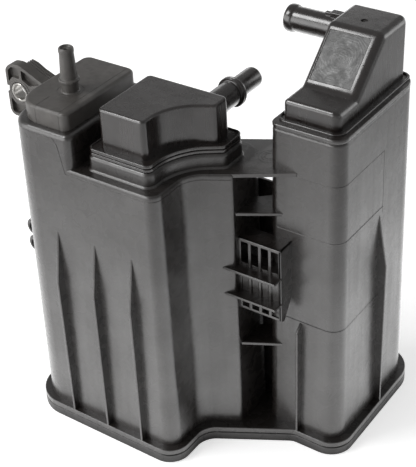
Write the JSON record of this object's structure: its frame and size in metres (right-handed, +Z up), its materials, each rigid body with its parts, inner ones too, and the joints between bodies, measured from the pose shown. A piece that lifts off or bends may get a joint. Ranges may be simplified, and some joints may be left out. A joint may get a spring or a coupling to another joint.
{
  "type": "charcoal canister",
  "caption": "Fuel vapour canister: two joined moulded chambers of charcoal with a purge nipple, a hose spigot, a vent hood, a welded cover and a mounting arm.",
  "frame": {"origin": "middle of the bounding box at the underside of the bottom cover", "axes": "+Z up through the chambers, the longest extent; +Y from the stepped front towards the back, the shortest extent; +X from the mounting arm towards the vent chamber"},
  "size_m": [0.2194, 0.152, 0.242],
  "materials": {
    "housing_nylon": "semi-gloss moulded",
    "cover_nylon": "semi-matte moulded",
    "lid_nylon": "semi-gloss moulded",
    "hood_nylon": "semi-gloss moulded",
    "plate_nylon": "moulded",
    "bush_steel": "plated",
    "spring_steel": "drawn wire",
    "felt_grey": "needled felt",
    "filter_foam": "open-cell foam",
    "charcoal": "pellets"
  },
  "bodies": {
    "root": {"canister_body": "housing_nylon", "bottom_cover": "cover_nylon", "port_lid": "lid_nylon", "vent_hood": "hood_nylon", "mount_bush": "bush_steel", "left_carbon_bed": "charcoal", "right_carbon_bed": "charcoal", "purge_side_felt": "felt_grey", "tank_side_felt": "felt_grey", "vent_side_felt": "felt_grey", "left_lower_felt": "felt_grey", "right_lower_felt": "felt_grey", "left_pressure_plate": "plate_nylon", "right_pressure_plate": "plate_nylon", "vent_filter_foam": "filter_foam", "left_spring_1": "spring_steel", "left_spring_2": "spring_steel", "left_spring_3": "spring_steel", "left_spring_4": "spring_steel", "right_spring_1": "spring_steel", "right_spring_2": "spring_steel"}
  },
  "joints": []
}
